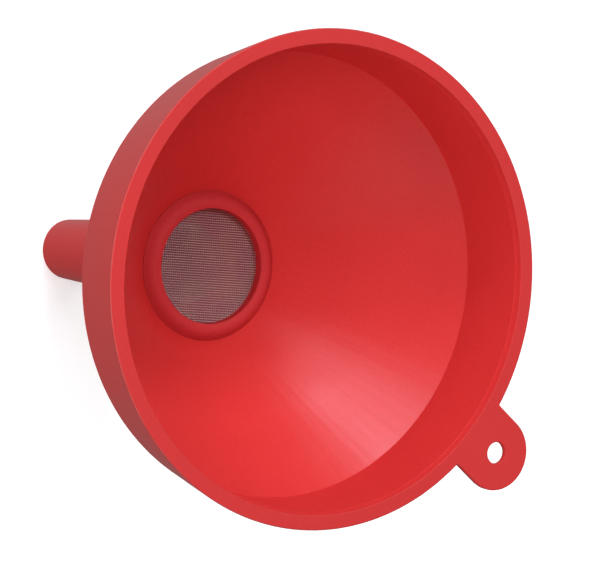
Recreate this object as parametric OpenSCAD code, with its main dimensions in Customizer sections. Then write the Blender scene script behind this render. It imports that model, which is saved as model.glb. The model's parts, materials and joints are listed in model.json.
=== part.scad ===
// Moulded filling funnel with a lift-out wire cloth strainer and a hanging tab.
// Z runs along the funnel's axis with the mouth up. The origin is the centre of the
// spout's open end, and the hanging tab points along +X.

/* [Rim] */
// Outer diameter of the lip
rim_d = 160; // [150:1:180]
// Width of the flat lip
lip_w = 5; // [4:0.5:7]
// Height of the collar between the lip and the cone
collar_h = 27; // [20:1:34]
// How far the collar's inside narrows from the lip to the cone
collar_inner_draft = 2.3; // [1:0.1:3]
// How far the collar's outside narrows from the lip to the cone
collar_outer_draft = 5.4; // [5:0.1:6]
// Bevel on the two edges of the lip
lip_bevel = 0.4; // [0.2:0.1:0.8]

/* [Cone and spout] */
// Height of the whole funnel, from the spout's end to the lip
total_h = 176; // [165:1:190]
// Angle between the cone and the funnel's axis
cone_angle = 43.9; // [42:0.1:46]
// Wall thickness of the cone
cone_wall = 2; // [1.6:0.1:2.4]
// Outer diameter of the spout's open end
spout_tip_d = 21.8; // [20:0.1:24]
// Wall thickness of the spout
spout_wall = 1.6; // [1.2:0.1:2]
// Taper of the spout, on each side
spout_draft = 2.6; // [1.5:0.1:3]

/* [Hanging tab] */
// Distance of the tab's hole from the funnel's axis
tab_reach = 88.7; // [88:0.1:92]
// Width of the tab, which is also the diameter of its round end
tab_w = 25; // [20:0.5:28]
// Thickness of the tab
tab_t = 2; // [1.6:0.1:3]
// Diameter of the tab's hole
tab_hole_d = 7.2; // [5:0.1:9]

/* [Strainer] */
// Radius of the cone where the strainer's outer edge sits
strainer_seat_r = 25.6; // [24:0.1:28]
// Radius of the strainer's opening
strainer_open_r = 19.6; // [18:0.1:20.5]
// Clear gap between the strainer and the cone
strainer_gap = 0.2; // [0.15:0.05:0.4]
// Height of the ring's crest above its outer edge
ring_crest_h = 2.6; // [2.2:0.1:3]
// Depth of the ring below its outer edge
ring_depth = 2.9; // [2.8:0.1:3.4]
// Depth of the wire cloth's upper side below the ring's crest
cloth_recess = 3.7; // [3.4:0.1:4]
// Thickness of the woven wire cloth, which is two wires
cloth_t = 0.5; // [0.4:0.05:0.6]
// How far the cloth's edge is moulded into the ring
cloth_grip = 1.2; // [0.8:0.1:1.4]

/* [Hidden] */
$fn = 128;

funnel_red = [0.82, 0.15, 0.15];
ring_red = [0.70, 0.13, 0.14];
wire_grey = [0.62, 0.58, 0.57];

// The rim
rim_r = rim_d / 2;
mouth_r = rim_r - lip_w;
cone_top_r = mouth_r - collar_inner_draft;
cone_top_z = total_h - collar_h;

// The cone's inside, and its outside one wall thickness away
cone_slope = tan(cone_angle);
cone_wall_x = cone_wall / cos(cone_angle);
function cone_in_r(z) = cone_top_r - (cone_top_z - z) * cone_slope;
function cone_in_z(r) = cone_top_z - (cone_top_r - r) / cone_slope;
function cone_out_z(r) = cone_in_z(r - cone_wall_x);

// The lower corner of the collar's outside lies on the outside of the cone
corner_r = rim_r - collar_outer_draft;
corner_z = cone_out_z(corner_r);
function collar_out_r(z) = corner_r + (z - corner_z) * collar_outer_draft / (total_h - corner_z);

// The spout's surfaces, and the heights at which they meet the cone's
spout_slope = tan(spout_draft);
tip_out_r = spout_tip_d / 2;
tip_in_r = tip_out_r - spout_wall;
function spout_out_r(z) = tip_out_r + z * spout_slope;
function spout_in_r(z) = tip_in_r + z * spout_slope;
neck_out_z = (tip_out_r - cone_in_r(0) - cone_wall_x) / (cone_slope - spout_slope);
neck_in_z = (tip_in_r - cone_in_r(0)) / (cone_slope - spout_slope);

// The strainer
seat_z = cone_in_z(strainer_seat_r);
ring_bottom_z = seat_z - ring_depth;
crest_z = seat_z + ring_crest_h;
cloth_z = crest_z - cloth_recess - cloth_t;
cloth_r = strainer_open_r + cloth_grip;
function ring_out_r(z) = cone_in_r(z) - strainer_gap / cos(cone_angle);

// The ring's upper face is an arch from the opening's edge, at share 0, over its crest
// to the outer edge, at share 1
crest_share = 0.35;
crest_inner_drop = 0.5;
function face_drop(share) =
    share < crest_share
    ? crest_inner_drop * pow(1 - share / crest_share, 2)
    : ring_crest_h * pow((share - crest_share) / (1 - crest_share), 2.4);
function face_point(share) = [
    strainer_open_r + share * (ring_out_r(seat_z) - strainer_open_r),
    crest_z - face_drop(share)
];

through = 1;

// Flat lip and the drafted collar under it, down to the top of the cone
module rim() {
    color(funnel_red)
    rotate_extrude()
    polygon([
        [cone_top_r, cone_top_z],
        [collar_out_r(cone_top_z), cone_top_z],
        [collar_out_r(total_h - lip_bevel), total_h - lip_bevel],
        [collar_out_r(total_h) - lip_bevel, total_h],
        [mouth_r + lip_bevel, total_h],
        [mouth_r, total_h - lip_bevel],
    ]);
}

// Conical bowl from the collar down to the neck of the spout
module cone() {
    color(funnel_red)
    rotate_extrude()
    polygon([
        [spout_in_r(neck_out_z), neck_out_z],
        [spout_out_r(neck_out_z), neck_out_z],
        [corner_r, corner_z],
        [collar_out_r(cone_top_z), cone_top_z],
        [cone_top_r, cone_top_z],
        [spout_in_r(neck_in_z), neck_in_z],
    ]);
}

// Tapered tube with a square-cut end
module spout() {
    color(funnel_red)
    rotate_extrude()
    polygon([
        [tip_in_r, 0],
        [tip_out_r, 0],
        [spout_out_r(neck_out_z), neck_out_z],
        [spout_in_r(neck_out_z), neck_out_z],
    ]);
}

// The space that the rim fills, out to its outside
module rim_envelope() {
    translate([0, 0, cone_top_z])
    cylinder(h = collar_h, r1 = collar_out_r(cone_top_z), r2 = rim_r);
}

// Flat tab with a round end and one hole, level with the top of the lip
module hang_tab() {
    color(funnel_red)
    difference() {
        translate([0, 0, total_h - tab_t])
        union() {
            translate([mouth_r, -tab_w / 2, 0])
            cube([tab_reach - mouth_r, tab_w, tab_t]);
            translate([tab_reach, 0, 0])
            cylinder(h = tab_t, d = tab_w);
        }
        rim_envelope();
        translate([tab_reach, 0, total_h - tab_t - through])
        cylinder(h = tab_t + 2 * through, d = tab_hole_d);
    }
}

// Moulded ring with an arched face and a flank that sits in the cone, and a groove that
// grips the cloth
module strainer_ring() {
    color(ring_red)
    rotate_extrude()
    polygon([
        [strainer_open_r, ring_bottom_z],
        [ring_out_r(ring_bottom_z), ring_bottom_z],
        for (share = [1, 0.85, 0.7, crest_share, 0]) face_point(share),
        [strainer_open_r, cloth_z + cloth_t],
        [cloth_r, cloth_z + cloth_t],
        [cloth_r, cloth_z],
        [strainer_open_r, cloth_z],
    ]);
}

// Outer shape of the round of woven wire cloth, held in the ring's groove
module strainer_cloth() {
    color(wire_grey)
    translate([0, 0, cloth_z])
    cylinder(h = cloth_t, r = cloth_r);
}

rim();
cone();
spout();
hang_tab();
strainer_ring();
strainer_cloth();
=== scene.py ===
import json
import math

import bmesh
import bpy
import numpy as np
from mathutils import Matrix, Vector


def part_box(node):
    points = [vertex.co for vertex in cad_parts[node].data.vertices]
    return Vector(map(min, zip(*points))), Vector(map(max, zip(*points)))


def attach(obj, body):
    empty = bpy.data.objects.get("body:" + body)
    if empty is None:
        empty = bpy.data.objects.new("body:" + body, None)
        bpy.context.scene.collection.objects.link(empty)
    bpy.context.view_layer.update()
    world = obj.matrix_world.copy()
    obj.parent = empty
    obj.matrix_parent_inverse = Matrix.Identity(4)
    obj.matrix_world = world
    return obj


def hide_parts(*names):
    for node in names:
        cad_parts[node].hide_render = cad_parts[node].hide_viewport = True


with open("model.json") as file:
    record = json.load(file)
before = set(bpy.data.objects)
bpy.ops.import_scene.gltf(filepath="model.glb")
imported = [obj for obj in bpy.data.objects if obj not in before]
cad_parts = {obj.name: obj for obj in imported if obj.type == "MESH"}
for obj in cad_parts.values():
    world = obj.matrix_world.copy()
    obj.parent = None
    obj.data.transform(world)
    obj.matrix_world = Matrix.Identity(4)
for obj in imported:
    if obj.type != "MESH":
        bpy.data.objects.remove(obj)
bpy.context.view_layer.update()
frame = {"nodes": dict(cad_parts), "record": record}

MM = 0.001


# ---------------------------------------------------------------- camera

LIP_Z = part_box("rim")[1].z
# The camera looks at a point of the mouth's plane a little off the axis
AIM = Vector((-8.45 * MM, -8.15 * MM, LIP_Z))
CAMERA_AZIMUTH = math.radians(-55.8)
CAMERA_ELEVATION = math.radians(57.2)
CAMERA_ROLL = math.radians(97.0)
CAMERA_DISTANCE = 0.946
LENS_MM = 180
SENSOR_MM = 36


def make_camera():
    """A long lens in front of the mouth, rolled so that the spout points left."""
    back = Vector((
        math.sin(CAMERA_AZIMUTH) * math.cos(CAMERA_ELEVATION),
        -math.cos(CAMERA_AZIMUTH) * math.cos(CAMERA_ELEVATION),
        math.sin(CAMERA_ELEVATION),
    ))
    level = (-back).to_track_quat("-Z", "Y").to_matrix()
    turned = level @ Matrix.Rotation(CAMERA_ROLL, 3, "Z")
    data = bpy.data.cameras.new("camera")
    data.lens = LENS_MM
    data.sensor_width = SENSOR_MM
    data.clip_start, data.clip_end = 0.05, 20
    camera = bpy.data.objects.new("camera", data)
    camera.matrix_world = Matrix.Translation(AIM + back * CAMERA_DISTANCE) @ turned.to_4x4()
    bpy.context.scene.collection.objects.link(camera)
    bpy.context.scene.camera = camera
    return turned


view_axes = make_camera()
VIEW_RIGHT, VIEW_UP, VIEW_BACK = (view_axes.col[i].copy() for i in range(3))


# ---------------------------------------------------------------- sizes from the frame

def levels(node):
    """[(height, smallest radius, largest radius)] of a CAD node's rings of points, lowest first."""
    points = np.array([v.co for v in frame["nodes"][node].data.vertices])
    heights = np.round(points[:, 2], 6)
    radii = np.hypot(points[:, 0], points[:, 1])
    found = []
    for z in np.unique(heights):
        ring = radii[heights == z]
        found.append((float(z), float(ring.min()), float(ring.max())))
    return found


rim_levels = levels("rim")
CONE_TOP_Z, CONE_TOP_R, COLLAR_LOW_R = rim_levels[0]
collar_high_z, MOUTH_R, collar_high_r = rim_levels[-2]
COLLAR_SLOPE = (collar_high_r - COLLAR_LOW_R) / (collar_high_z - CONE_TOP_Z)

cone_levels = levels("cone")
CORNER_Z, _, CORNER_R = cone_levels[-2]
NECK_OUT_Z, _, NECK_OUT_R = cone_levels[0]
NECK_IN_Z, NECK_IN_R, _ = cone_levels[1]
CONE_SLOPE = (CONE_TOP_R - NECK_IN_R) / (CONE_TOP_Z - NECK_IN_Z)
_, TIP_IN_R, TIP_OUT_R = levels("spout")[0]

tab_low, tab_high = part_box("hang_tab")
TAB_T = tab_high.z - tab_low.z
TAB_HALF_W = tab_high.y
TAB_CENTRE_X = tab_high.x - TAB_HALF_W
HOLE_R = next(m for m in frame["record"]["mounts"] if m["name"] == "hang_hole")["dims"]["r_mm"] * MM

ring_levels = levels("strainer_ring")
RING_LOW_Z, OPEN_R, RING_LOW_R = ring_levels[0]
SEAT_Z, _, SEAT_R = max(ring_levels, key=lambda level: level[2])
CREST_Z, CREST_R, _ = ring_levels[-1]
# Height of the ring's face at the edge of its opening
EDGE_Z = max(z for z, low_r, _ in ring_levels if low_r < OPEN_R + 0.01 * MM)
cloth_low, cloth_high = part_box("strainer_cloth")


def collar_r(z):
    """Radius of the collar's outside at a height."""
    return COLLAR_LOW_R + (z - CONE_TOP_Z) * COLLAR_SLOPE


RIM_R = collar_r(LIP_Z)


# ---------------------------------------------------------------- mesh helpers

# How far beyond each end of an arc there is one more row of points
SUPPORT = 0.15 * MM


def rounded(corners):
    """Points along an open run of (r, z, fillet radius, steps) corners, each corner an arc.

    A point close to each end of an arc keeps the smooth shading of the arc off the flat beside it.
    """
    points = []
    for i, (r, z, fillet, steps) in enumerate(corners):
        here = np.array((r, z))
        if fillet <= 0 or i in (0, len(corners) - 1):
            points.append(here)
            continue
        back = np.array(corners[i - 1][:2]) - here
        ahead = np.array(corners[i + 1][:2]) - here
        back, ahead = back / np.linalg.norm(back), ahead / np.linalg.norm(ahead)
        half = math.acos(np.clip(back @ ahead, -1, 1)) / 2
        middle = (back + ahead) / np.linalg.norm(back + ahead)
        centre = here + middle * fillet / math.sin(half)
        reach = fillet / math.tan(half)
        start = here + back * reach - centre
        first = math.atan2(start[1], start[0])
        turn = math.pi - 2 * half
        if back[0] * ahead[1] - back[1] * ahead[0] > 0:
            turn = -turn
        points.append(here + back * (reach + SUPPORT))
        for k in range(steps + 1):
            angle = first + turn * k / steps
            points.append(centre + fillet * np.array((math.cos(angle), math.sin(angle))))
        points.append(here + ahead * (reach + SUPPORT))
    return points


def quarter_arc(fillet, steps):
    """[(inset, depth)] of a rounded edge's points, from its flat top to its upright side."""
    arc = []
    for k in range(steps + 1):
        angle = math.pi / 2 * k / steps
        arc.append((fillet * (1 - math.sin(angle)), fillet * (1 - math.cos(angle))))
    return arc


def turned_point(point, angle):
    """A profile's (r, z) point turned round the axis."""
    r, z = point
    return (r * math.cos(angle), r * math.sin(angle), z)


def grid_faces(columns, rows, first=0, wrap=True, keep=lambda column, row: True):
    """Quads between neighbouring columns of points, where keep says so."""
    faces = []
    for c in range(columns if wrap else columns - 1):
        for r in range(rows - 1):
            if keep(c, r):
                a, b = c * rows + r, (c + 1) % columns * rows + r
                faces.append([first + a, first + b, first + b + 1, first + a + 1])
    return faces


def lathe(profile, segments):
    """Closed ring of a closed profile of (r, z) points."""
    loop = list(profile) + [profile[0]]
    verts = [turned_point(p, math.tau * c / segments) for c in range(segments) for p in loop]
    return verts, grid_faces(segments, len(loop))


def weld(mesh):
    """Joins the borders that meet and turns every face outwards."""
    bm = bmesh.new()
    bm.from_mesh(mesh)
    bmesh.ops.remove_doubles(bm, verts=bm.verts, dist=1e-6)
    bmesh.ops.recalc_face_normals(bm, faces=bm.faces)
    bm.to_mesh(mesh)
    bm.free()


def make_piece(name, verts, faces, material, body, sharp_deg=32):
    """A clean smooth-shaded mesh piece that rides on a body."""
    mesh = bpy.data.meshes.new(name)
    mesh.from_pydata([tuple(v) for v in verts], [], faces)
    piece = bpy.data.objects.new(name, mesh)
    bpy.context.scene.collection.objects.link(piece)
    weld(mesh)
    mesh.shade_smooth()
    mesh.set_sharp_from_angle(angle=math.radians(sharp_deg))
    mesh.materials.append(material)
    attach(piece, body)
    return piece


# ---------------------------------------------------------------- materials

class Nodes:
    """A short way to add and link the nodes of one material."""

    def __init__(self, name):
        self.material = bpy.data.materials.new(name)
        self.material.use_nodes = True
        self.tree = self.material.node_tree
        self.shader = next(n for n in self.tree.nodes if n.type == "BSDF_PRINCIPLED")

    def add(self, kind, values=None, **settings):
        node = self.tree.nodes.new(kind)
        for key, value in settings.items():
            setattr(node, key, value)
        for socket, value in (values or {}).items():
            if isinstance(value, bpy.types.NodeSocket):
                self.tree.links.new(value, node.inputs[socket])
            else:
                node.inputs[socket].default_value = value
        return node

    def calc(self, operation, a, b=0.0, c=0.0):
        return self.add("ShaderNodeMath", {0: a, 1: b, 2: c}, operation=operation).outputs[0]

    def times(self, a, b):
        return self.calc("MULTIPLY", a, b)

    def noise(self, place, scale=1.0, detail=3.0, roughness=0.55):
        node = self.add(
            "ShaderNodeTexNoise",
            {"Vector": place, "Scale": scale, "Detail": detail, "Roughness": roughness},
        )
        return node.outputs["Fac"]

    def remap(self, value, low, high, to_low=0.0, to_high=1.0):
        node = self.add(
            "ShaderNodeMapRange",
            {"Value": value, "From Min": low, "From Max": high, "To Min": to_low, "To Max": to_high},
        )
        return node.outputs[0]

    def blend(self, share, a, b):
        node = self.add("ShaderNodeMix", {0: share, 6: a, 7: b}, data_type="RGBA", blend_type="MIX")
        return node.outputs[2]

    def point(self, x, y, z):
        return self.add("ShaderNodeCombineXYZ", {0: x, 1: y, 2: z}).outputs[0]

    def place(self):
        """Position in the row frame, in metres."""
        return self.add("ShaderNodeTexCoord").outputs["Object"]

    def polar(self, place):
        """Distance from the funnel's axis, angle round it and height."""
        x, y, z = self.add("ShaderNodeSeparateXYZ", {0: place}).outputs
        radius = self.calc("SQRT", self.calc("ADD", self.times(x, x), self.times(y, y)))
        return radius, self.calc("ARCTAN2", y, x), z

    def bump(self, height, strength, distance, normal=None):
        values = {"Height": height, "Strength": strength, "Distance": distance}
        if normal is not None:
            values["Normal"] = normal
        return self.add("ShaderNodeBump", values).outputs[0]

    def to_shader(self, **sockets):
        """Sets or links the shader's sockets, named with _ for each space."""
        for name, value in sockets.items():
            socket = self.shader.inputs[name.replace("_", " ")]
            if isinstance(value, bpy.types.NodeSocket):
                self.tree.links.new(value, socket)
            else:
                socket.default_value = value


def scaled(colour, factor):
    return tuple(factor * c for c in colour[:3]) + (1,)


# Painted shade for the inside of the neck and spout below the strainer
NECK_PAINTED_SHADE = (0.16, 0.012, 0.012, 1)
# Pale colour of knocks on the lip's outer edge, which also paints the highlight line along that edge
KNOCK_AND_HIGHLIGHT_PALE = (0.38, 0.115, 0.105, 1)
# The lip's zone of painted shade and rougher, dull finish fades out this far below its top
LIP_SHADE_AND_DULL_DEPTH = 1.2 * MM
# Pale knocks and the painted highlight line reach this far from the lip's outer edge, inwards and down
EDGE_MARK_WIDTH = 0.35 * MM
EDGE_MARK_DEPTH = 0.5 * MM
# Angle on each side of the tab's middle, in radians, where the tab joins the lip and the edge mark is left
# out
TAB_JOIN_ANGLE = 0.2


def scuffs(m, radius, angle, z):
    """Broken rings left by wiping and by stacking."""
    stretched = m.point(m.times(radius, 900.0), m.times(z, 300.0), m.times(angle, 1.3))
    return m.remap(m.noise(stretched, detail=4.0, roughness=0.7), 0.62, 0.74)


def inside_below_strainer(m, radius, z):
    """1 on the inner walls of the neck and spout below the strainer, where their colour is darkened with
    painted shade.
    """
    # The limit runs inside the wall, so that all of the wall's inner skin is within it
    into_wall = 0.6 * MM
    bore_slope = (NECK_IN_R - TIP_IN_R) / NECK_IN_Z
    bore_r = m.calc("MULTIPLY_ADD", z, bore_slope, TIP_IN_R + into_wall)
    cone_at_zero = CONE_TOP_R - CONE_TOP_Z * CONE_SLOPE
    cone_r = m.calc("MULTIPLY_ADD", z, CONE_SLOPE, cone_at_zero + into_wall)
    inside = m.calc("LESS_THAN", radius, m.calc("MAXIMUM", bore_r, cone_r))
    return m.times(m.calc("LESS_THAN", z, RING_LOW_Z), inside)


def knocks_and_edge_highlight(m, radius, angle, z):
    """Uneven pale knocks along the lip's outer edge, over a painted highlight line all along it, except
    where the tab joins it.
    """
    on_edge = m.calc("COMPARE", radius, RIM_R, EDGE_MARK_WIDTH)
    high = m.calc("GREATER_THAN", z, LIP_Z - EDGE_MARK_DEPTH)
    off_tab = m.calc("GREATER_THAN", m.calc("ABSOLUTE", angle), TAB_JOIN_ANGLE)
    uneven = m.noise(m.point(m.times(angle, 7.0), z, 0.0), detail=5.0, roughness=0.7)
    strength = m.remap(uneven, 0.42, 0.62, 0.45, 1.0)
    return m.times(m.times(on_edge, high), m.times(off_tab, strength))


def red_plastic(name, deep, bright, roughness, specular):
    """Moulded polyethylene: cloudy pigment, fine grain, draw marks, light scuffs, pale knocks that also
    paint a highlight line along the lip's outer edge, painted shade on the lip's top and painted shade in
    the neck below the strainer.
    """
    m = Nodes(name)
    place = m.place()
    radius, angle, z = m.polar(place)

    cloud = m.noise(place, 16.0, detail=3.0, roughness=0.5)
    speckle = m.noise(place, 1100.0, detail=2.0, roughness=0.7)
    grain = m.noise(place, 1400.0, detail=3.0, roughness=0.6)
    # Marks that run from the mouth to the spout, tighter round the axis than along it
    round_axis = m.times(angle, 9.0)
    pull = m.noise(m.point(round_axis, radius, z), 6.0, detail=3.0, roughness=0.5)
    # Slow waves round the wall, where the plastic shrank unevenly
    wave = m.noise(m.point(round_axis, m.times(radius, 4.0), 0.0), detail=2.0, roughness=0.5)
    scuff = scuffs(m, radius, angle, z)
    # Painted shade darkens the lip's top and the edges round it, and handling dulls them with a rougher
    # finish
    painted_shade_and_dull_lip = m.remap(z, LIP_Z - LIP_SHADE_AND_DULL_DEPTH, LIP_Z)

    tone = m.calc("ADD", m.times(cloud, 0.5), m.times(speckle, 0.5))
    colour = m.blend(m.remap(tone, 0.3, 0.7), deep, bright)
    whitened = (min(1, bright[0] * 1.1), bright[1] * 2.6, bright[2] * 2.6, 1)
    colour = m.blend(m.times(scuff, 0.06), colour, whitened)
    # Painted shade inside the neck and spout below the strainer
    colour = m.blend(m.times(inside_below_strainer(m, radius, z), 0.75), colour, NECK_PAINTED_SHADE)
    # Painted shade on the lip's top
    colour = m.blend(m.times(painted_shade_and_dull_lip, 0.5), colour, scaled(deep, 0.8))
    # Pale knocks and a painted highlight line along the lip's outer edge
    colour = m.blend(m.times(knocks_and_edge_highlight(m, radius, angle, z), 0.6), colour, KNOCK_AND_HIGHLIGHT_PALE)

    rough = m.remap(cloud, 0.3, 0.7, roughness - 0.04, roughness + 0.05)
    rough = m.calc("ADD", rough, m.times(scuff, 0.06))
    rough = m.calc("ADD", rough, m.remap(pull, 0.35, 0.65, -0.012, 0.012))
    rough = m.calc("ADD", rough, m.times(painted_shade_and_dull_lip, 0.36))

    normal = m.bump(wave, 0.35, 0.40 * MM)
    normal = m.bump(pull, 0.012, 0.10 * MM, normal)
    normal = m.bump(cloud, 0.15, 0.40 * MM, normal)
    normal = m.bump(grain, 0.10, 0.05 * MM, normal)
    m.to_shader(Base_Color=colour, Roughness=rough, Normal=normal, IOR=1.5)
    m.to_shader(Specular_IOR_Level=specular)
    return m.material


def drawn_wire(name, shade):
    """Fine drawn wire with a dull film that comes and goes; a shade below 1 gives a darker copy with
    painted shade.
    """
    m = Nodes(name)
    place = m.place()
    film = m.noise(place, 130.0, detail=3.0, roughness=0.6)
    streak = m.noise(place, 2600.0, detail=2.0, roughness=0.6)
    rosy = scaled((0.93, 0.65, 0.74), shade)
    straw = scaled((1.0, 0.80, 0.74), shade)
    m.to_shader(Base_Color=m.blend(m.remap(film, 0.35, 0.65), rosy, straw))
    m.to_shader(Roughness=m.remap(streak, 0.3, 0.7, 0.24, 0.38), Metallic=0.9)
    m.to_shader(Normal=m.bump(streak, 0.2, 0.02 * MM))
    return m.material


def pale_floor():
    """A plain pale surface with a faint glow, which keeps it close to white."""
    m = Nodes("pale_floor")
    cloud = m.noise(m.place(), 3.0, detail=3.0, roughness=0.5)
    m.to_shader(Base_Color=m.blend(cloud, (0.86, 0.86, 0.86, 1), (0.90, 0.90, 0.90, 1)))
    m.to_shader(Roughness=m.remap(cloud, 0.3, 0.7, 0.75, 0.85))
    m.to_shader(Emission_Color=(1, 1, 1, 1), Emission_Strength=0.32)
    return m.material


body_red = red_plastic(
    "red_polyethylene", deep=(0.56, 0.026, 0.026, 1), bright=(0.66, 0.036, 0.036, 1),
    roughness=0.34, specular=0.4,
)
ring_red = red_plastic(
    "ring_polyethylene", deep=(0.47, 0.024, 0.028, 1), bright=(0.55, 0.034, 0.040, 1),
    roughness=0.66, specular=0.25,
)


# ---------------------------------------------------------------- the funnel's one moulding

LIP_FILLET = 0.45 * MM
LIP_STEPS = 6
LIP_IN_FILLET = 0.3 * MM
TAB_LOW_FILLET = 0.3 * MM
TAB_LOW_STEPS = 3
CORNER_FILLET = 1.0 * MM
NECK_OUT_FILLET = 5.0 * MM
NECK_IN_FILLET = 3.0 * MM
TIP_FILLET = 0.25 * MM
CONE_TOP_FILLET = 0.5 * MM
HOLE_FILLET = 0.3 * MM
HOLE_STEPS = 4
# The collar's inside flares out a little above this level, and a fine ridge marks it
FLARE_Z = LIP_Z - 2.6 * MM
FLARE_R = MOUTH_R - 0.43 * MM
RIDGE_HEIGHT = 0.09 * MM
RIDGE_HALF = 0.14 * MM
# Columns of points round the rim, away from the tab and beside it
RIM_SEGMENTS = 352
TAB_SEGMENTS = 20
TAB_SIDE_STEPS = 5
TAB_ROUND_STEPS = 60
# Angle from the middle of the tab to each notch where its side meets the rim
NOTCH = math.asin(TAB_HALF_W / RIM_R)


def ridge_corners():
    """Corners of the fine ridge where the collar's inside begins to flare, from below it to above."""
    below = np.array((CONE_TOP_R - FLARE_R, CONE_TOP_Z - FLARE_Z))
    above = np.array((MOUTH_R - FLARE_R, LIP_Z - FLARE_Z))
    below, above = below / abs(below[1]), above / above[1]
    # The rows at 3 half widths keep the ridge's smooth shading off the walls beside it
    steps = (
        below * 3 * RIDGE_HALF,
        below * RIDGE_HALF,
        (-RIDGE_HEIGHT, 0),
        above * RIDGE_HALF,
        above * 3 * RIDGE_HALF,
    )
    return [(FLARE_R + r, FLARE_Z + z, 0, 0) for r, z in steps]


def body_profile():
    """The moulding's closed outline in (r, z), and its first and last rows that the tab joins."""
    tab_low_z = LIP_Z - TAB_T
    tab_rows = [tab_low_z + inset for inset, _ in quarter_arc(TAB_LOW_FILLET, TAB_LOW_STEPS)]
    lip_middle = (MOUTH_R + RIM_R) / 2
    corners = [
        (lip_middle, LIP_Z, 0, 0),
        (RIM_R, LIP_Z, LIP_FILLET, LIP_STEPS),
        *[(collar_r(z), z, 0, 0) for z in tab_rows],
        (collar_r(tab_low_z - SUPPORT), tab_low_z - SUPPORT, 0, 0),
        (CORNER_R, CORNER_Z, CORNER_FILLET, 6),
        (NECK_OUT_R, NECK_OUT_Z, NECK_OUT_FILLET, 10),
        (TIP_OUT_R, 0, TIP_FILLET, 4),
        (TIP_IN_R, 0, TIP_FILLET, 4),
        (NECK_IN_R, NECK_IN_Z, NECK_IN_FILLET, 8),
        (CONE_TOP_R, CONE_TOP_Z, CONE_TOP_FILLET, 5),
        *ridge_corners(),
        (MOUTH_R, LIP_Z, LIP_IN_FILLET, 7),
        (lip_middle, LIP_Z, 0, 0),
    ]
    profile = rounded(corners)[:-1]
    # Row 0 is the lip's middle and row 1 the support point, so the lip's arc starts at row 2
    top_row = 2
    low_row = top_row + LIP_STEPS + 1 + len(tab_rows)
    return profile, top_row, low_row


def tab_outline():
    """[(point, outward direction)] round the tab from one notch to the other."""
    start_x = math.sqrt(RIM_R ** 2 - TAB_HALF_W ** 2)
    length = TAB_CENTRE_X - start_x
    side = [start_x + length * k / TAB_SIDE_STEPS for k in range(1, TAB_SIDE_STEPS)]
    outline = [((x, TAB_HALF_W), (0.0, 1.0)) for x in side]
    for k in range(TAB_ROUND_STEPS + 1):
        angle = math.pi / 2 - math.pi * k / TAB_ROUND_STEPS
        way = (math.cos(angle), math.sin(angle))
        outline.append(((TAB_CENTRE_X + TAB_HALF_W * way[0], TAB_HALF_W * way[1]), way))
    outline += [((x, -TAB_HALF_W), (0.0, -1.0)) for x in reversed(side)]
    return outline


def tab_edge_columns(shared):
    """Columns of points down the tab's edge, from the rim's shared rows at one notch to the other."""
    edge = [(inset, LIP_Z - depth) for inset, depth in quarter_arc(LIP_FILLET, LIP_STEPS)]
    edge.append((0, LIP_Z - LIP_FILLET - SUPPORT))
    low_arc = quarter_arc(TAB_LOW_FILLET, TAB_LOW_STEPS)
    edge += [(depth, LIP_Z - TAB_T + inset) for inset, depth in low_arc]
    columns = [[turned_point(p, NOTCH) for p in shared]]
    for (x, y), (out_x, out_y) in tab_outline():
        columns.append([(x - out_x * inset, y - out_y * inset, z) for inset, z in edge])
    columns.append([turned_point(p, -NOTCH) for p in shared])
    return columns


def tab_sheet_columns(edge_columns, shared):
    """Columns across the tab's flat top, down the wall of its hole and back across its underside."""
    upper = [(HOLE_R + inset, LIP_Z - depth) for inset, depth in quarter_arc(HOLE_FILLET, HOLE_STEPS)]
    hole_rows = upper + [(r, 2 * LIP_Z - TAB_T - z) for r, z in reversed(upper)]
    border = [(column[0], column[-1]) for column in edge_columns]
    for k in range(1, TAB_SEGMENTS):
        angle = -NOTCH + 2 * NOTCH * k / TAB_SEGMENTS
        border.append((turned_point(shared[0], angle), turned_point(shared[-1], angle)))
    centre = np.array((TAB_CENTRE_X, 0.0))
    sheets = []
    for high, low in border:
        high, low = np.array(high), np.array(low)
        way = (high[:2] - centre) / np.linalg.norm(high[:2] - centre)
        wall = [np.array((*(centre + way * r), z)) for r, z in hole_rows]
        out = np.array((*way, 0.0))
        top = [high, high - out * SUPPORT, wall[0] + out * SUPPORT]
        under = [wall[-1] + out * SUPPORT, low - out * SUPPORT, low]
        sheets.append(top + wall + under)
    return sheets


def funnel_body():
    """Lip, collar, cone, spout and hanging tab as one closed skin."""
    profile, top_row, low_row = body_profile()
    far_side = [NOTCH + (math.tau - 2 * NOTCH) * k / RIM_SEGMENTS for k in range(RIM_SEGMENTS)]
    tab_side = [-NOTCH + 2 * NOTCH * k / TAB_SEGMENTS for k in range(TAB_SEGMENTS)]
    angles = far_side + tab_side
    loop = profile + [profile[0]]
    verts = [turned_point(p, a) for a in angles for p in loop]
    # The rim's side is left open behind the tab, whose own skin closes it
    faces = grid_faces(
        len(angles), len(loop),
        keep=lambda column, row: column < RIM_SEGMENTS or not top_row <= row < low_row,
    )
    shared = profile[top_row:low_row + 1]
    edge_columns = tab_edge_columns(shared)
    for columns, wrap in ((edge_columns, False), (tab_sheet_columns(edge_columns, shared), True)):
        faces += grid_faces(len(columns), len(columns[0]), len(verts), wrap)
        verts += [tuple(p) for column in columns for p in column]
    piece = make_piece("funnel_body", verts, faces, body_red, "funnel")
    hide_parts("rim", "cone", "spout", "hang_tab")


# ---------------------------------------------------------------- the strainer

FACE_STEPS = 24
RING_SEGMENTS = 192
RING_SEAT_FILLET = 0.12 * MM
RING_OPENING_FILLET = 0.3 * MM
RING_LOW_FILLET = 0.2 * MM
# How much closer to the cone the ring's flank sits than the CAD ring's
SEATING = 0.2 * MM
# Where the ring's face is highest, as a share of its width from the opening
CREST_SHARE = (CREST_R - OPEN_R) / (SEAT_R - OPEN_R)


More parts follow.
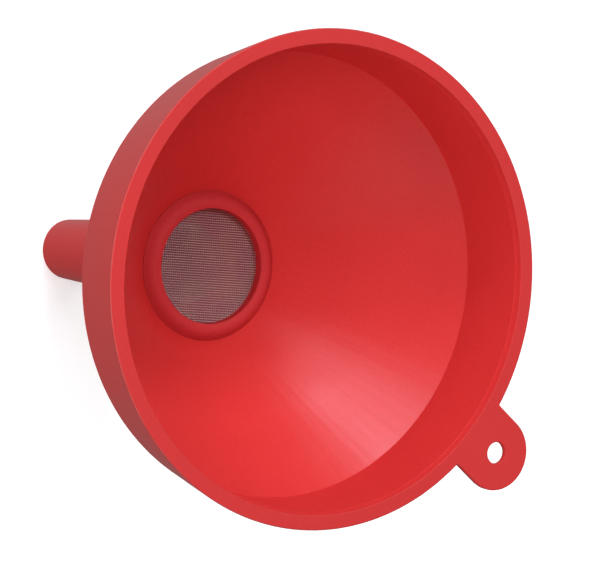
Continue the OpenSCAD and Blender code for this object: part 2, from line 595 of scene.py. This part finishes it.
def face_drop(share):
    """How far the ring's face is below its crest, at a share of its width from the opening."""
    if share < CREST_SHARE:
        return (CREST_Z - EDGE_Z) * (1 - share / CREST_SHARE) ** 2
    return (CREST_Z - SEAT_Z) * ((share - CREST_SHARE) / (1 - CREST_SHARE)) ** 2


def strainer_ring():
    """A ring with an arched face, a small round inner edge and the groove that grips the cloth."""
    face = []
    for k in range(1, FACE_STEPS - 1):
        share = 1 - k / FACE_STEPS
        face.append((OPEN_R + (SEAT_R - OPEN_R) * share, CREST_Z - face_drop(share), 0, 0))
    grip_r = cloth_high.x
    corners = [
        (RING_LOW_R + SEATING, RING_LOW_Z, 0, 0),
        (SEAT_R + SEATING, SEAT_Z, RING_SEAT_FILLET, 4),
        *face,
        (OPEN_R, EDGE_Z, RING_OPENING_FILLET, 5),
        (OPEN_R, cloth_high.z, 0, 0),
        (grip_r, cloth_high.z, 0, 0),
        (grip_r, cloth_low.z, 0, 0),
        (OPEN_R, cloth_low.z, 0, 0),
        (OPEN_R, RING_LOW_Z, RING_LOW_FILLET, 3),
        (RING_LOW_R + SEATING, RING_LOW_Z, 0, 0),
    ]
    verts, faces = lathe(rounded(corners)[:-1], RING_SEGMENTS)
    piece = make_piece("strainer_ring_body", verts, faces, ring_red, "strainer")
    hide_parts("strainer_ring")


WIRE_PITCH = 0.82 * MM
# The cloth is two wires thick
WIRE_R = (cloth_high.z - cloth_low.z) / 4
# Direction of the warp, seen from the mouth
WARP_ANGLE = math.radians(36.9)
WIRE_SIDES = 6
STEPS_PER_PITCH = 4
# The wires stop this far short of the groove's end wall
WIRE_END_GAP = 0.15 * MM


def add_tube(verts, faces, centres, normals, across):
    """Adds one wire with closed ends: a ring of points at each centre, square to its normal."""
    first = len(verts)
    for centre, normal in zip(centres, normals):
        for k in range(WIRE_SIDES):
            angle = math.tau * k / WIRE_SIDES
            verts.append(centre + WIRE_R * (math.cos(angle) * across + math.sin(angle) * normal))
    last = len(verts) - WIRE_SIDES
    for ring in range(first, last, WIRE_SIDES):
        for k in range(WIRE_SIDES):
            n = (k + 1) % WIRE_SIDES
            faces.append([ring + k, ring + WIRE_SIDES + k, ring + WIRE_SIDES + n, ring + n])
    faces.append([first + k for k in range(WIRE_SIDES)])
    faces.append([last + k for k in reversed(range(WIRE_SIDES))])


def wire_set(name, direction, sign, material):
    """Parallel wires across the ring, each bent over and under the ones that cross it."""
    reach = cloth_high.x - WIRE_END_GAP
    middle_z = (cloth_high.z + cloth_low.z) / 2
    along = np.array((math.cos(direction), math.sin(direction), 0.0))
    across = np.array((-math.sin(direction), math.cos(direction), 0.0))
    up = np.array((0.0, 0.0, 1.0))
    count = int(reach / WIRE_PITCH)
    verts, faces = [], []
    for i in range(-count, count + 1):
        offset = i * WIRE_PITCH
        half = math.sqrt(reach ** 2 - offset ** 2)
        steps = int(half / WIRE_PITCH * STEPS_PER_PITCH)
        side = sign if i % 2 == 0 else -sign
        stations = np.arange(-steps, steps + 1) * WIRE_PITCH / STEPS_PER_PITCH
        phase = math.pi * stations / WIRE_PITCH
        rise = side * WIRE_R * np.cos(phase)
        tilt = -side * WIRE_R * math.pi / WIRE_PITCH * np.sin(phase)
        centres = [along * s + across * offset + up * (middle_z + h) for s, h in zip(stations, rise)]
        normals = [(up - along * t) / np.linalg.norm(up - along * t) for t in tilt]
        add_tube(verts, faces, centres, normals, across)
    piece = make_piece(name, verts, faces, material, "strainer", sharp_deg=80)
    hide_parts("strainer_cloth")


# ---------------------------------------------------------------- floor and light

FLOOR_HALF = 4.0


def make_floor():
    mesh = bpy.data.meshes.new("floor")
    corners = [(x * FLOOR_HALF, y * FLOOR_HALF, 0) for x, y in ((-1, -1), (1, -1), (1, 1), (-1, 1))]
    mesh.from_pydata(corners, [], [[0, 1, 2, 3]])
    mesh.materials.append(pale_floor())
    floor = bpy.data.objects.new("floor", mesh)
    bpy.context.scene.collection.objects.link(floor)
    # Seen by the camera but not by the plastic, so its glow doesn't wash out the outside
    floor.visible_diffuse = False
    floor.visible_glossy = False


# Cool daylight
KEY_TINT = (0.90, 0.97, 1.10)
# The lights aim at a point inside the bowl
LIGHT_AIM = Vector((0, 0, LIP_Z * 0.75))
# Strength of the surroundings below and above the horizon, and how softly they meet there
WORLD_BELOW = 0.32
WORLD_ABOVE = 0.06
HORIZON_HALF = 0.15
# Direction in the row frame from which they are brighter, and their factors away from it and there
BRIGHT_SIDE = (-0.65, 0.76, 0.0)
DULL_FACTOR = 0.5
BRIGHT_FACTOR = 1.3
SIDE_HALF = 0.5


def area_light(name, direction, distance, size, power, glare=True, tint=(1, 1, 1)):
    """A soft panel that faces the bowl from a direction along the camera's right, up and back."""
    right, up, back = direction
    way = (VIEW_RIGHT * right + VIEW_UP * up + VIEW_BACK * back).normalized()
    data = bpy.data.lights.new(name, "AREA")
    data.shape = "RECTANGLE"
    data.size, data.size_y = size
    data.energy = power
    data.color = tint
    lamp = bpy.data.objects.new(name, data)
    lamp.location = LIGHT_AIM + way * distance
    lamp.rotation_mode = "QUATERNION"
    lamp.rotation_quaternion = way.to_track_quat("Z", "Y")
    # A light without glare has no reflection of its own in the plastic
    lamp.visible_glossy = glare
    bpy.context.scene.collection.objects.link(lamp)


def map_range(tree, value, low, high, to_low, to_high):
    node = tree.nodes.new("ShaderNodeMapRange")
    tree.links.new(value, node.inputs["Value"])
    for socket, number in (("From Min", low), ("From Max", high), ("To Min", to_low), ("To Max", to_high)):
        node.inputs[socket].default_value = number
    return node.outputs[0]


def make_world():
    """Even pale surroundings, dimmer above than below and brighter on one side."""
    world = bpy.data.worlds.new("studio")
    world.use_nodes = True
    tree = world.node_tree
    background = tree.nodes["Background"]
    background.inputs["Color"].default_value = (1, 1, 1, 1)
    way = tree.nodes.new("ShaderNodeTexCoord").outputs["Generated"]
    split = tree.nodes.new("ShaderNodeSeparateXYZ")
    tree.links.new(way, split.inputs[0])
    side = tree.nodes.new("ShaderNodeVectorMath")
    side.operation = "DOT_PRODUCT"
    tree.links.new(way, side.inputs[0])
    side.inputs[1].default_value = BRIGHT_SIDE
    both = tree.nodes.new("ShaderNodeMath")
    both.operation = "MULTIPLY"
    height, sideways = split.outputs[2], side.outputs["Value"]
    by_height = map_range(tree, height, -HORIZON_HALF, HORIZON_HALF, WORLD_BELOW, WORLD_ABOVE)
    by_side = map_range(tree, sideways, -SIDE_HALF, SIDE_HALF, DULL_FACTOR, BRIGHT_FACTOR)
    tree.links.new(by_height, both.inputs[0])
    tree.links.new(by_side, both.inputs[1])
    tree.links.new(both.outputs[0], background.inputs["Strength"])
    bpy.context.scene.world = world


def make_light():
    """Two keys for the highlight on the cone, and soft fills round them."""
    make_world()
    area_light("key", (0.17, 0.87, 0.53), 2.2, (0.4, 0.4), 13, tint=KEY_TINT)
    area_light("second_key", (0.0, 0.68, 0.72), 2.2, (0.6, 0.5), 9, tint=KEY_TINT)
    area_light("front_fill", (0.0, 0.0, 1.0), 1.8, (1.2, 1.2), 16, glare=False)
    area_light("upper_right_fill", (0.62, 0.5, 0.6), 2.4, (1.6, 1.6), 30)
    area_light("lower_fill", (0.0, -0.7, 0.7), 1.2, (0.9, 0.9), 5, glare=False)
    area_light("side_fill", (-0.8, 0.0, 0.62), 1.5, (0.5, 0.5), 7, glare=False)
    area_light("back_fill", (0.8, 0.0, -0.42), 1.5, (0.5, 0.5), 6, glare=False)
    bpy.context.scene.view_settings.view_transform = "Standard"
    bpy.context.scene.view_settings.look = "None"


funnel_body()
strainer_ring()
# Warp and weft are lit and shaded copies of one wire: the weft's 0.8 shade is painted shade
wire_set("strainer_warp_wires", WARP_ANGLE, 1, drawn_wire("warp_wire", 1.0))
wire_set("strainer_weft_wires", WARP_ANGLE + math.pi / 2, -1, drawn_wire("weft_wire", 0.8))
make_floor()
make_light()
